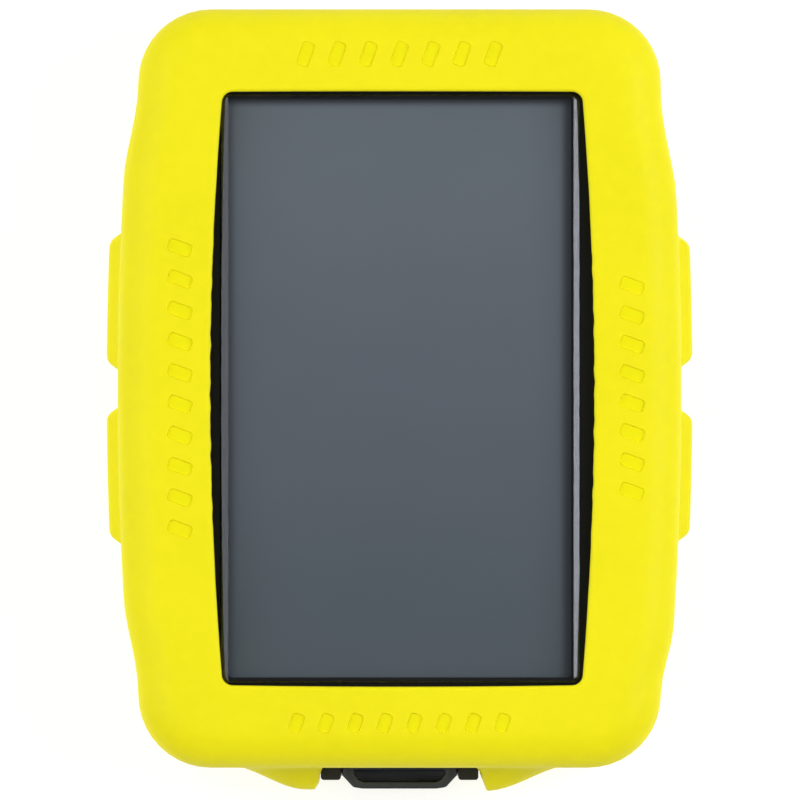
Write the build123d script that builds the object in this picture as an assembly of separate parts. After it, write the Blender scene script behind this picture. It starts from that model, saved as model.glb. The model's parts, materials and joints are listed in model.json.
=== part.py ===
"""Handheld GPS unit in a silicone sleeve, as separate parts. Millimetres.

The unit lies on its back: +Z comes out of the screen, +Y is the top of the unit,
and the origin is the centre of the quarter-turn mount's rest face on the back.
"""
import os

from build123d import *

# Outline of the sleeve, seen from the front
HALF_WIDTH = 30.7         # at the middle of the barrelled sides
END_HALF_WIDTH = 28.4     # beside the corners
HALF_HEIGHT = 41.3
CORNER_RADIUS = 7.4
SHOULDER_Y = 31.4         # where the barrelled side settles into the corner
BARREL_Y = 22.0

# Heights above the rest face
SLEEVE_BACK = 2.4
SLEEVE_FRONT = 25.7
SLEEVE_WALL = 1.5
SLEEVE_GAP = 0.05
HOUSING_BACK = SLEEVE_BACK + SLEEVE_WALL
HOUSING_FRONT = SLEEVE_FRONT - SLEEVE_WALL
HOUSING_WALL = 1.8
SPLIT = 18.6              # joint between the two housing halves
FLOOR = HOUSING_BACK + HOUSING_WALL
CEILING = HOUSING_FRONT - HOUSING_WALL

# Screen
WINDOW_HALF_HEIGHT = 32.3
WINDOW_END_HALF = 19.7
WINDOW_MID_HALF = 20.9
WINDOW_CORNER = 1.2
LENS_SIZE = (39.0, 64.0)
LENS_CORNER = 0.9
LENS_THICKNESS = 1.5
LENS_PROUD = 0.9
LENS_EDGE = 0.45
LENS_BOTTOM = HOUSING_FRONT + LENS_PROUD - LENS_THICKNESS
ADHESIVE = 0.2
DISPLAY_OPENING = (37.3, 62.9)
PANEL_SIZE = (38.6, 64.0)
PANEL_TOP = CEILING - 0.1
PANEL_THICKNESS = 1.4
BACKLIGHT_THICKNESS = 1.7
TRAY_WALL = 0.7

# Keys on both long sides
KEY_Y = (9.5, -9.5)
KEY_Z = 14.4
KEY_LENGTH, KEY_HEIGHT = 12.0, 4.2
KEY_GAP = 0.2
KEY_FLANGE = 0.8
KEY_INNER_X, KEY_FLANGE_X, KEY_OUTER_X = 26.1, 26.9, 29.9
PAD_LENGTH, PAD_HEIGHT = 14.2, 7.0
PAD_PROUD = 1.25
PAD_BEVEL = 0.8
PAD_GAP = 0.15
SIDE_BOARD_X, SIDE_BOARD_THICKNESS = 22.9, 0.8
SWITCH_SIZE = (1.6, 4.6, 3.6)
PLUNGER_RADIUS = 0.9

# Port at the bottom end
PORT_HALF_WIDTH = 8.6
PORT_Z = (4.9, 15.6)
PORT_GAP = 0.15
FOOT_Z = (4.7, 16.5)
PORT_FACE_Y = -40.9
CHEEK_INNER, CHEEK_Y = 6.4, -42.7
DOOR_HALF_WIDTH = 6.25
DOOR_Y = (-41.0, -43.5)
DOOR_TOP = 15.4
HINGE_Y, HINGE_Z = -41.9, 6.5
HINGE_PIN_RADIUS, HINGE_BARREL = 0.45, 0.9
SOCKET_HALF_WIDTH, SOCKET_HEIGHT = 3.8, 2.6

# Boards, battery and screws
BOARD_BOTTOM, BOARD_THICKNESS = 13.6, 1.0
BOARD_TOP = BOARD_BOTTOM + BOARD_THICKNESS
BOARD_SCREWS = [(x, y) for x in (-19.5, 19.5) for y in (-27.0, 27.0)]
CASE_SCREWS = [(x, y) for x in (-21.9, 21.9) for y in (-34.7, 34.7)]
MOUNT_SCREW_RING = 8.0
BATTERY = (34.0, 45.0, 4.8)
BATTERY_Y = -2.5
BATTERY_PAD = 0.4
BATTERY_REST = 7.6
VENT_AT = (21.0, -20.5)

# Quarter-turn mount
MOUNT_RADIUS, MOUNT_LUG_RADIUS = 11.0, 14.0
MOUNT_LUG_THICKNESS = 1.4
MOUNT_LUG_ANGLE = 60
SLEEVE_MOUNT_HOLE = 15.5

parts = {}


def outline(inset):
    """Front outline of the unit, drawn inset mm inside the sleeve's skin."""
    end, top = END_HALF_WIDTH - inset, HALF_HEIGHT - inset
    radius = CORNER_RADIUS - inset
    edges = []
    for side in (1, -1):
        stations = [(end, top - radius), (end + 0.22, SHOULDER_Y), (HALF_WIDTH - 0.55 - inset, BARREL_Y),
                    (HALF_WIDTH - inset, 0)]
        points = [(side * x, y) for x, y in stations]
        points += [(x, -y) for x, y in reversed(points[:-1])]
        edges.append(Spline(*points, tangents=[(0, -1), (0, -1)]))
    for end_y in (1, -1):
        edges.append(Line((-(end - radius), end_y * top), (end - radius, end_y * top)))
        for side in (1, -1):
            centre = (side * (end - radius), end_y * (top - radius))
            mid = (centre[0] + side * radius * 2**-0.5, centre[1] + end_y * radius * 2**-0.5)
            edges.append(ThreePointArc((centre[0], end_y * top), mid, (side * end, centre[1])))
    return make_face(edges)


def pebble(inset, low, high, back_radius, front_radius):
    """The unit's outline between two heights, with rounded back and front edges."""
    body = extrude(Pos(0, 0, low) * outline(inset), high - low)
    body = fillet(body.edges().group_by(Axis.Z)[-1], front_radius)
    return fillet(body.edges().group_by(Axis.Z)[0], back_radius)


def barrel_window(grow=0.0):
    """The sleeve's screen window, whose long sides bow outwards."""
    top, end, mid = WINDOW_HALF_HEIGHT + grow, WINDOW_END_HALF + grow, WINDOW_MID_HALF + grow
    edges = [Line((-end, top), (end, top)), ThreePointArc((end, top), (mid, 0), (end, -top)),
             Line((end, -top), (-end, -top)), ThreePointArc((-end, -top), (-mid, 0), (-end, top))]
    face = make_face(edges)
    return fillet(face.vertices(), WINDOW_CORNER + grow)


def slab(width, length, low, high, centre=(0, 0), corner=0.0):
    """A flat plate of a rectangle between two heights, its corners rounded or square."""
    shape = RectangleRounded(width, length, corner) if corner else Rectangle(width, length)
    return Pos(centre[0], centre[1], low) * extrude(shape, high - low)


def block(low, high):
    """A box from its lowest to its highest corner."""
    size = [b - a for a, b in zip(low, high)]
    middle = [(a + b) / 2 for a, b in zip(low, high)]
    return Pos(*middle) * Box(*size)


def post(x, y, radius, low, high):
    """An upright cylinder between two heights."""
    return Pos(x, y, (low + high) / 2) * Cylinder(radius, high - low)


def side_prism(sketch, side, y, near, far):
    """A YZ sketch centred on a key, pushed outwards along X on one side of the unit."""
    low, high = sorted((side * near, side * far))
    plane = Plane(origin=(low, y, KEY_Z), x_dir=(0, 1, 0), z_dir=(1, 0, 0))
    return extrude(plane * sketch, high - low)


def stadium(length, height):
    """A slot-shaped sketch with round ends, length along its own X."""
    return RectangleRounded(length, height, height / 2 - 0.01)


def keys():
    """Every key as (name, side, y)."""
    for side, side_name in ((-1, "left"), (1, "right")):
        for y, level in zip(KEY_Y, ("upper", "lower")):
            yield f"{side_name}_{level}", side, y


def grip_marks():
    """Slanted dashes sunk into the sleeve's face, above, below and beside the screen."""
    depth, cut = 0.2, 0.5
    marks = []
    rows = [((0, 36.4), 0, 7, 3.4, 2.6), ((0, -36.4), 0, 8, 3.2, 2.0),
            ((-24.9, 0), 90, 10, 3.4, 3.0), ((25.3, 0), 90, 8, 3.2, 2.6)]
    for centre, turn, count, pitch, height in rows:
        for i in range(count):
            dash = Pos((i - (count - 1) / 2) * pitch, 0) * Rot(0, 0, -20) * RectangleRounded(1.3, height, 0.4)
            marks.append(Pos(*centre, SLEEVE_FRONT - depth) * Rot(0, 0, turn) * extrude(dash, cut))
    return marks


def sleeve_foot(side):
    """One of the two feet that the sleeve grows beside the port."""
    inner_x, tip_x, root_x = PORT_HALF_WIDTH + PORT_GAP, 9.3, 17.4
    tip_y, root_y, back_y = -43.75, -41.15, -38.9
    slope = Spline((side * root_x, root_y), (side * 13.4, -42.4), (side * tip_x, tip_y),
                   tangents=[(-side, 0), (-side, -0.12)])
    rest = Polyline((side * tip_x, tip_y), (side * inner_x, tip_y + 0.45), (side * inner_x, back_y),
                    (side * root_x, back_y), (side * root_x, root_y))
    foot = Pos(0, 0, FOOT_Z[0]) * extrude(make_face([slope, rest]), FOOT_Z[1] - FOOT_Z[0])
    rims = [e for e in foot.edges() if e.center().Y < -HALF_HEIGHT and e.geom_type != GeomType.LINE]
    return fillet(rims, 1.2)


def silicone_sleeve():
    """The yellow outer skin: open at the screen, mount, keys and port."""
    body = pebble(0, SLEEVE_BACK, SLEEVE_FRONT, 4.6, 3.2)
    body -= block((-PORT_HALF_WIDTH - PORT_GAP, -46, PORT_Z[0] - 0.4),
                  (PORT_HALF_WIDTH + PORT_GAP, -38, PORT_Z[1] + PORT_GAP))
    for side in (1, -1):
        body += sleeve_foot(side)
    body -= pebble(SLEEVE_WALL - SLEEVE_GAP, HOUSING_BACK - SLEEVE_GAP, HOUSING_FRONT + SLEEVE_GAP, 3.5, 2.2)
    body -= Pos(0, 0, HOUSING_FRONT - 1) * extrude(barrel_window(), 5)
    body -= post(0, 0, SLEEVE_MOUNT_HOLE, 0, 5)
    pad_opening = RectangleRounded(PAD_LENGTH + 2 * PAD_GAP, PAD_HEIGHT + 2 * PAD_GAP, 1.0)
    for _, side, y in keys():
        body -= side_prism(pad_opening, side, y, 26, 34)
    for mark in grip_marks():
        body -= mark
    return body


def housing_block():
    """The closed two-half housing before it is split, hollow, with the port block."""
    body = pebble(SLEEVE_WALL, HOUSING_BACK, HOUSING_FRONT, 3.5, 2.2)
    body += block((-PORT_HALF_WIDTH, PORT_FACE_Y, PORT_Z[0]), (PORT_HALF_WIDTH, -38.2, PORT_Z[1]))
    inset = SLEEVE_WALL + HOUSING_WALL
    return body - extrude(Pos(0, 0, FLOOR) * outline(inset), CEILING - FLOOR)


def rim_ring():
    """The seal's ring, midway through the housing wall."""
    near, far, height = SLEEVE_WALL + 0.5, SLEEVE_WALL + 1.3, 0.7
    return extrude(Pos(0, 0, SPLIT - height) * (outline(near) - outline(far)), height)


def port_cheeks():
    """Two cheeks that guard the port door and carry its hinge pin."""
    cheeks = Part()
    for side in (-1, 1):
        low, high = sorted((side * CHEEK_INNER, side * PORT_HALF_WIDTH))
        cheek = block((low, CHEEK_Y, PORT_Z[0]), (high, PORT_FACE_Y + 0.5, PORT_Z[1]))
        cheeks += fillet(cheek.edges().filter_by(Axis.Z).group_by(Axis.Y)[0], 0.35)
    return cheeks


def rear_housing(whole):
    """The lower half: floor, side walls, posts, key openings and the port."""
    body = whole & slab(80, 100, 0, SPLIT)
    body += port_cheeks()
    ledge_y, ledge_top = 15.2, 11.0
    for x, y in CASE_SCREWS:
        body += post(x, y, 2.5, HOUSING_BACK + 1.2, SPLIT)
    for x, y in BOARD_SCREWS:
        body += post(x, y, 2.0, FLOOR - 0.2, BOARD_BOTTOM)
    for turn in range(4):
        at = Rot(0, 0, 45 + 90 * turn) * Pos(MOUNT_SCREW_RING, 0, 0)
        body += at * post(0, 0, 2.2, FLOOR - 0.2, BATTERY_REST)
        body -= at * post(0, 0, 1.02, HOUSING_BACK - 1, BATTERY_REST - 0.5)
    for side in (-1, 1):
        for y in (-ledge_y, ledge_y):
            low, high = sorted((side * 22.2, side * 24.4))
            body += block((low, y - 0.9, FLOOR - 0.2), (high, y + 0.9, ledge_top))
    for x, y in CASE_SCREWS:
        body -= post(x, y, 2.1, 0, HOUSING_BACK + 1.7)
        body -= post(x, y, 1.12, 0, SPLIT + 1)
    for x, y in BOARD_SCREWS:
        body -= post(x, y, 0.82, 9.0, BOARD_BOTTOM + 1)
    for board in switch_boards():
        body -= board
    for _, side, y in keys():
        opening = stadium(KEY_LENGTH + 2 * KEY_GAP, KEY_HEIGHT + 2 * KEY_GAP)
        body -= side_prism(opening, side, y, 24.5, 32)
        body -= side_prism(stadium(KEY_LENGTH + 1.4, KEY_HEIGHT + 1.4), side, y, 27.9, 28.5)
    body -= block((-4.2, -42, 10.3), (4.2, -37, 14.2))
    body -= block((-4.2, -39.8, 10.3), (4.2, -37, SPLIT - 4.9))
    body -= Pos(0, HINGE_Y, HINGE_Z) * Rot(0, 90, 0) * Cylinder(HINGE_PIN_RADIUS + 0.01, 16.2)
    body -= rim_ring()
    body -= post(*VENT_AT, 0.5, 0, FLOOR + 1)
    return body


def front_housing(whole):
    """The upper half: the black face around the screen, with the lens seat."""
    body = whole & slab(80, 100, SPLIT, 40)
    for x, y in CASE_SCREWS:
        body += post(x, y, 2.5, SPLIT, CEILING + 0.4)
        body -= post(x, y, 1.02, SPLIT - 1, 21.8)
    seat = LENS_SIZE[0] + 0.2, LENS_SIZE[1] + 0.2
    body -= slab(*DISPLAY_OPENING, CEILING - 1, 30, corner=0.5)
    body -= slab(*seat, LENS_BOTTOM - ADHESIVE, 30, corner=LENS_CORNER + 0.1)
    return body


def screen_lens():
    """The raised cover lens with softly rounded front edges."""
    body = slab(*LENS_SIZE, LENS_BOTTOM, LENS_BOTTOM + LENS_THICKNESS, corner=LENS_CORNER)
    return fillet(body.edges().group_by(Axis.Z)[-1], LENS_EDGE)


def lens_adhesive():
    """The double-sided gasket that bonds the lens to its seat."""
    ring = slab(LENS_SIZE[0] - 0.1, LENS_SIZE[1] - 0.1, LENS_BOTTOM - ADHESIVE, LENS_BOTTOM, corner=0.8)
    return ring - slab(DISPLAY_OPENING[0] + 0.1, DISPLAY_OPENING[1] + 0.1, 20, 30, corner=0.5)


def display_parts():
    """The display panel, its backlight, the tray that holds both, and its ribbon."""
    panel_bottom = PANEL_TOP - PANEL_THICKNESS
    light_bottom = panel_bottom - BACKLIGHT_THICKNESS
    parts["display_panel"] = slab(*PANEL_SIZE, panel_bottom, PANEL_TOP, corner=0.4)
    parts["display_backlight"] = slab(*PANEL_SIZE, light_bottom, panel_bottom, corner=0.4)
    outer = [side + 2 * (TRAY_WALL + 0.1) for side in PANEL_SIZE]
    tray = slab(*outer, light_bottom - 0.6, PANEL_TOP, corner=1.0)
    tray -= slab(PANEL_SIZE[0] + 0.2, PANEL_SIZE[1] + 0.2, light_bottom, 30, corner=0.5)
    slot_y = -outer[1] / 2
    tray -= block((-7.4, slot_y - 1, panel_bottom - 0.2), (7.4, slot_y + 1.5, PANEL_TOP + 1))
    parts["display_tray"] = tray
    ribbon_y = slot_y - 0.5
    ribbon = block((-7, ribbon_y, panel_bottom + 0.2), (7, -PANEL_SIZE[1] / 2, panel_bottom + 0.4))
    ribbon += block((-7, ribbon_y, BOARD_TOP), (7, ribbon_y + 0.2, panel_bottom + 0.4))
    ribbon += block((-7, ribbon_y, BOARD_TOP), (7, -28.5, BOARD_TOP + 0.2))
    parts["display_ribbon"] = ribbon
    parts["ribbon_connector"] = block((-8, -28.5, BOARD_TOP), (8, -25.5, BOARD_TOP + 1.2))


def main_board():
    """The main circuit board, with tongues that reach the antenna and the port."""
    shape = RectangleRounded(44.4, 61, 1.5) + Rectangle(34, 74.4) - Pos(0, -36.0) * Rectangle(40, 3.0)
    body = Pos(0, 0, BOARD_BOTTOM) * extrude(shape, BOARD_THICKNESS)
    for x, y in BOARD_SCREWS:
        body -= post(x, y, 1.0, BOARD_BOTTOM - 1, BOARD_TOP + 1)
    return body


def board_parts():
    """What is soldered to the main board, above and below it."""
    top = BOARD_TOP
    parts["processor_chip"] = slab(9, 9, top, top + 1.1, (-9, 5), 0.3)
    parts["memory_chip"] = slab(6, 8, top, top + 0.9, (2, 6), 0.2)
    can = slab(17, 15, top, top + 1.9, (5, -12), 1.0)
    parts["radio_shield"] = can - slab(16.6, 14.6, top, top + 1.7, (5, -12), 0.8)
    parts["pressure_sensor"] = slab(2.5, 2.5, top, top + 1.0, (-13, -13), 0.2)
    parts["bluetooth_antenna"] = slab(3.2, 1.6, top, top + 1.1, (-19.5, 20))
    case = post(12, 19, 5.0, top, top + 2.6)
    parts["buzzer"] = case - post(12, 19, 0.9, top + 2.0, top + 4)
    carrier_top = 21.0
    parts["antenna_carrier"] = block((-15, 33.4, top), (15, 37.0, carrier_top))
    strip = block((-14, 33.6, carrier_top), (14, 36.9, carrier_top + 0.2))
    parts["gps_antenna"] = strip - block((-8, 34.9, 20), (10, 35.5, 22))
    shell = block((-SOCKET_HALF_WIDTH, -39.4, BOARD_BOTTOM - SOCKET_HEIGHT),
                  (SOCKET_HALF_WIDTH, -33.6, BOARD_BOTTOM))
    hollow = block((-3.5, -40, BOARD_BOTTOM - 2.3), (3.5, -34.2, BOARD_BOTTOM - 0.3))
    tongue = block((-1.9, -38.8, 12.2), (1.9, -34.0, 12.7))
    parts["usb_socket"] = shell - hollow + tongue
    plug = block((-8.5, 23.2, BOARD_BOTTOM - 2.6), (-3.5, 27.0, BOARD_BOTTOM))
    parts["battery_connector"] = fillet(plug.edges().filter_by(Axis.Y), 0.3)


def battery_parts():
    """The pouch cell on its foam pad, with its guard board and two leads."""
    low = BATTERY_REST + BATTERY_PAD
    cell = slab(BATTERY[0], BATTERY[1], low, low + BATTERY[2], (0, BATTERY_Y), 2.0)
    parts["battery_cell"] = fillet(cell.edges().group_by(Axis.Z)[-1], 1.2)
    parts["battery_foam"] = slab(BATTERY[0] - 2, BATTERY[1] - 3, BATTERY_REST, low, (0, BATTERY_Y), 1.0)
    edge = BATTERY_Y + BATTERY[1] / 2
    parts["battery_guard_board"] = block((-14, edge, low + 0.4), (14, edge + 0.8, low + 4.2))
    leads = Part()
    lead_near, lead_far = edge + 0.8, 23.2
    for x in (-7.0, -5.0):
        middle = Pos(x, (lead_near + lead_far) / 2, 12.0)
        leads += middle * Rot(90, 0, 0) * Cylinder(0.45, lead_far - lead_near)
    parts["battery_leads"] = leads


def switch_boards():
    """One upright board on each side, behind the keys."""
    for side in (-1, 1):
        low, high = sorted((side * SIDE_BOARD_X, side * (SIDE_BOARD_X + SIDE_BOARD_THICKNESS)))
        yield block((low, -16.4, 9.8), (high, 16.4, 18.4))


def side_switch_parts():
    """The side boards and their switches, joined to the main board by short ribbons."""
    for name, board in zip(("left", "right"), switch_boards()):
        parts[f"{name}_switch_board"] = board
    face = SIDE_BOARD_X + SIDE_BOARD_THICKNESS
    bodies, ribbons = Part(), Part()
    for _, side, y in keys():
        body = side_prism(Rectangle(SWITCH_SIZE[1], SWITCH_SIZE[2]), side, y, face, face + SWITCH_SIZE[0])
        bodies += body - side_prism(Circle(PLUNGER_RADIUS + 0.05), side, y, face + 0.6, face + 3)
    for side in (-1, 1):
        low, high = sorted((side * 20.4, side * SIDE_BOARD_X))
        ribbons += block((low, -3, BOARD_TOP), (high, 3, BOARD_TOP + 0.2))
    parts["key_switches"] = bodies
    parts["switch_ribbons"] = ribbons


def key_parts():
    """Each key's moving pieces and the seal ring that stays in the wall."""
    seals = Part()
    face = SIDE_BOARD_X + SIDE_BOARD_THICKNESS
    proud = extrude(Pos(0, 0, SLEEVE_BACK) * outline(-PAD_PROUD), SLEEVE_FRONT - SLEEVE_BACK)
    for name, side, y in keys():
        stem = side_prism(stadium(KEY_LENGTH, KEY_HEIGHT), side, y, KEY_INNER_X, KEY_OUTER_X)
        flange = stadium(KEY_LENGTH + 2 * KEY_FLANGE, KEY_HEIGHT + 2 * KEY_FLANGE)
        parts[f"key_{name}"] = stem + side_prism(flange, side, y, KEY_INNER_X, KEY_FLANGE_X - 0.1)
        parts[f"plunger_{name}"] = side_prism(Circle(PLUNGER_RADIUS), side, y, face + 1.2, KEY_INNER_X)
        pad = side_prism(RectangleRounded(PAD_LENGTH, PAD_HEIGHT, 0.9), side, y, KEY_OUTER_X, 34)
        pad &= proud
        tip = pad.faces().sort_by(Axis.X)[-1 if side > 0 else 0]
        parts[f"key_pad_{name}"] = chamfer(tip.edges(), PAD_BEVEL)
        ring = stadium(KEY_LENGTH + 1.36, KEY_HEIGHT + 1.36) - stadium(KEY_LENGTH + 0.06, KEY_HEIGHT + 0.06)
        seals += side_prism(ring, side, y, 27.92, 28.48)
    parts["key_seals"] = seals


def port_door():
    """The port's flap: a hinge barrel, a plate and a scooped finger lip."""
    corners = [(DOOR_HALF_WIDTH, DOOR_Y[0]), (DOOR_HALF_WIDTH, -42.35), (5.2, -43.25), (4.1, DOOR_Y[1])]
    corners += [(-x, y) for x, y in reversed(corners)]
    face = make_face(Polyline(*corners, close=True))
    outer = [v for v in face.vertices() if v.Y < -42]
    plate = Pos(0, 0, HINGE_Z) * extrude(fillet(outer, 0.8), DOOR_TOP - HINGE_Z)
    barrel = Pos(0, HINGE_Y, HINGE_Z) * Rot(0, 90, 0) * Cylinder(HINGE_BARREL, 2 * DOOR_HALF_WIDTH)
    thin_above = 8.4
    plate -= block((-7, -44, 0), (7, HINGE_Y - HINGE_BARREL, thin_above))
    scoop = block((-4.9, -42.7, 11.8), (4.9, -41.6, DOOR_TOP + 1))
    scoop = fillet(scoop.edges().group_by(Axis.Z)[0], 0.4)
    body = plate + barrel - scoop
    body -= Pos(0, HINGE_Y, HINGE_Z) * Rot(0, 90, 0) * Cylinder(HINGE_PIN_RADIUS + 0.05, 20)
    return body


def port_plug():
    """The rubber stopper on the door's inner face, with a sealing rib."""
    core = block((-3.6, DOOR_Y[0], 11.2), (3.6, -40.0, 13.3))
    core = fillet(core.edges().filter_by(Axis.Y), 0.9)
    rib = block((-3.85, -40.7, 10.95), (3.85, -40.3, 13.55))
    return core + fillet(rib.edges().filter_by(Axis.Y), 1.0)


def quarter_turn_mount():
    """The round boss on the back with two lugs that turn into a holder."""
    body = post(0, 0, MOUNT_RADIUS, 0, HOUSING_BACK)
    body = chamfer(body.edges().group_by(Axis.Z)[0], 0.3)
    lugs = post(0, 0, MOUNT_LUG_RADIUS, 0, MOUNT_LUG_THICKNESS)
    lugs = chamfer(lugs.edges().group_by(Axis.Z)[0], 0.3)
    wedge = Part()
    for turn in (0, 180):
        start = turn - MOUNT_LUG_ANGLE / 2
        sector = make_face(Polyline((0, 0), *[Vector(30, 0).rotate(Axis.Z, start + MOUNT_LUG_ANGLE * k / 2)
                                              for k in range(3)], close=True))
        wedge += extrude(sector, MOUNT_LUG_THICKNESS)
    body += lugs & wedge
    body -= post(0, 0, 4.5, -1, 1.2)
    for turn in range(4):
        at = Rot(0, 0, 45 + 90 * turn) * Pos(MOUNT_SCREW_RING, 0, 0)
        body -= at * post(0, 0, 1.15, -1, 5)
        body -= at * post(0, 0, 2.1, -1, 1.6)
    return body


def screw(x, y, head_low, head_height, head_radius, radius, tip, drive=0.6):
    """A pan-head screw driven from below (or above, when the tip is lower)."""
    up = tip > head_low
    head_far = head_low + head_height if up else head_low - head_height
    low, high = sorted((head_low, head_far))
    body = post(x, y, head_radius, low, high)
    shank_low, shank_high = sorted((head_far, tip))
    body += post(x, y, radius, shank_low, shank_high)
    socket_far = head_low + drive if up else head_low - drive
    cut_low, cut_high = sorted((head_low, socket_far))
    return body - Pos(x, y, cut_low) * extrude(RegularPolygon(head_radius * 0.5, 6), cut_high - cut_low)


def fasteners():
    """Case, board and mount screws, each set in one node."""
    case, board, mount = Part(), Part(), Part()
    for x, y in CASE_SCREWS:
        case += screw(x, y, HOUSING_BACK + 0.3, 1.4, 1.9, 1.0, 21.4)
    for x, y in BOARD_SCREWS:
        board += screw(x, y, BOARD_TOP + 0.9, 0.9, 1.5, 0.8, 9.6)
    for turn in range(4):
        at = Rot(0, 0, 45 + 90 * turn) * Pos(MOUNT_SCREW_RING, 0, 0)
        mount += at * screw(0, 0, 0.3, 1.3, 1.9, 1.0, 6.8)
    parts["case_screws"], parts["board_screws"], parts["mount_screws"] = case, board, mount


whole_housing = housing_block()
parts["silicone_sleeve"] = silicone_sleeve()
parts["rear_housing"] = rear_housing(whole_housing)
parts["front_housing"] = front_housing(whole_housing)
parts["housing_seal"] = rim_ring()
parts["screen_lens"] = screen_lens()
parts["lens_adhesive"] = lens_adhesive()
parts["main_board"] = main_board()
parts["port_door"] = port_door()
parts["port_plug"] = port_plug()
parts["port_hinge_pin"] = Pos(0, HINGE_Y, HINGE_Z) * Rot(0, 90, 0) * Cylinder(HINGE_PIN_RADIUS, 16.0)
parts["quarter_turn_mount"] = quarter_turn_mount()
parts["vent_membrane"] = post(*VENT_AT, 2.0, FLOOR, FLOOR + 0.3)
display_parts()
board_parts()
battery_parts()
side_switch_parts()
key_parts()
fasteners()

os.makedirs("parts", exist_ok=True)
for node, solid in parts.items():
    export_step(solid, f"parts/{node}.step")
print(len(parts), "nodes")
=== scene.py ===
"""Looks of a handheld GPS unit in a silicone sleeve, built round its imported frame.

The soft yellow parts are modelled here ring by ring; the moulded, printed and metal
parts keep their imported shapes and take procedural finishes. Everything is in metres.
"""
import json
import logging
import math
from contextlib import contextmanager
from dataclasses import dataclass, field
from enum import Enum
from typing import Any, Callable, Iterator, Sequence

import bmesh
import bpy
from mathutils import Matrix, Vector

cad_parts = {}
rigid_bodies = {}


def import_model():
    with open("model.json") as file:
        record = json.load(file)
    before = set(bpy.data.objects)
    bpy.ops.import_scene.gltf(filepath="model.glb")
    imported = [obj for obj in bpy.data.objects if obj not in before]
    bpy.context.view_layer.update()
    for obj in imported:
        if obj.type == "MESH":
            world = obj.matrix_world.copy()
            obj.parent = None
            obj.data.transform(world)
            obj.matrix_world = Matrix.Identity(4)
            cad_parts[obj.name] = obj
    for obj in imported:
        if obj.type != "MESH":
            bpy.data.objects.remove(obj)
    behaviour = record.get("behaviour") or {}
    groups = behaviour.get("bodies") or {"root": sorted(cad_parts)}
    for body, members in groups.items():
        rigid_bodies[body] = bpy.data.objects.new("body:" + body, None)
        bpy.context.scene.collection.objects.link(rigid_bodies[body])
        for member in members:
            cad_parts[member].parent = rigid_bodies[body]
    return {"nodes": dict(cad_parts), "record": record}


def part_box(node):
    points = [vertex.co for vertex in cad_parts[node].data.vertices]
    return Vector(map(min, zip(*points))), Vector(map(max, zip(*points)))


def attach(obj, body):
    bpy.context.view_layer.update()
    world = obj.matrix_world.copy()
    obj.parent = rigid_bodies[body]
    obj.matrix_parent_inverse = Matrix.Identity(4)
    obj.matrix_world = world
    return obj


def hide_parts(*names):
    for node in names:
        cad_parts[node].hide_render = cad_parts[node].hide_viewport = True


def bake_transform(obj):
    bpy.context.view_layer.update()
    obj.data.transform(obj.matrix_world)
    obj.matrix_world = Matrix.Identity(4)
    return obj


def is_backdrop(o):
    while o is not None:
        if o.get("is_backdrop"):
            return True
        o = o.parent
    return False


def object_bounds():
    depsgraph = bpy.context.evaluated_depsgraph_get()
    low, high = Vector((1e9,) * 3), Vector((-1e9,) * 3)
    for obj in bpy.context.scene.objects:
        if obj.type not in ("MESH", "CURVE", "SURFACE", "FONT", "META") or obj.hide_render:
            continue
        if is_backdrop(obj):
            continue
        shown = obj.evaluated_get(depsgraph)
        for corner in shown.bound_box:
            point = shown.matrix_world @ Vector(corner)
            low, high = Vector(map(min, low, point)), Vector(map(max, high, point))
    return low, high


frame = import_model()

MM = 0.001
FLUSH = 0.02 * MM
LOG = logging.getLogger("gps_unit")
Colour = tuple[float, float, float]
Point = tuple[float, float]


# ---------------------------------------------------------------- shader wiring


class Wire:
    """A node socket that number expressions can be written on."""

    def __init__(self, recipe: "Recipe", socket: bpy.types.NodeSocket) -> None:
        """Wraps one output socket of a recipe's tree."""
        self.recipe = recipe
        self.socket = socket

    def _math(self, operation: str, first: Any, second: Any = None) -> "Wire":
        """Adds a Math node.

        Args:
            operation: the node's operation.
            first: a Wire or a number.
            second: a Wire or a number, where the operation takes two.

        Returns:
            The node's result.
        """
        values = [first] if second is None else [first, second]
        return self.recipe.node("ShaderNodeMath", {"operation": operation}, dict(enumerate(values)))

    def __add__(self, other: Any) -> "Wire":
        """Sum."""
        return self._math("ADD", self, other)

    def __radd__(self, other: Any) -> "Wire":
        """Sum, reflected."""
        return self._math("ADD", other, self)

    def __mul__(self, other: Any) -> "Wire":
        """Product."""
        return self._math("MULTIPLY", self, other)

    def __rmul__(self, other: Any) -> "Wire":
        """Product, reflected."""
        return self._math("MULTIPLY", other, self)

    def power(self, exponent: float) -> "Wire":
        """This raised to an exponent."""
        return self._math("POWER", self, exponent)

    def wave(self) -> "Wire":
        """Sine, of radians."""
        return self._math("SINE", self)

    def step(self, low: float, high: float, out_low: float = 0.0, out_high: float = 1.0) -> "Wire":
        """A smooth ramp over this value.

        Args:
            low: where the ramp starts.
            high: where it ends.
            out_low: what it gives up to its start.
            out_high: what it gives past its end.

        Returns:
            The ramp's value.
        """
        settings = {"interpolation_type": "SMOOTHSTEP"}
        values = {"Value": self, "From Min": low, "From Max": high, "To Min": out_low, "To Max": out_high}
        return self.recipe.node("ShaderNodeMapRange", settings, values)


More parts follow.
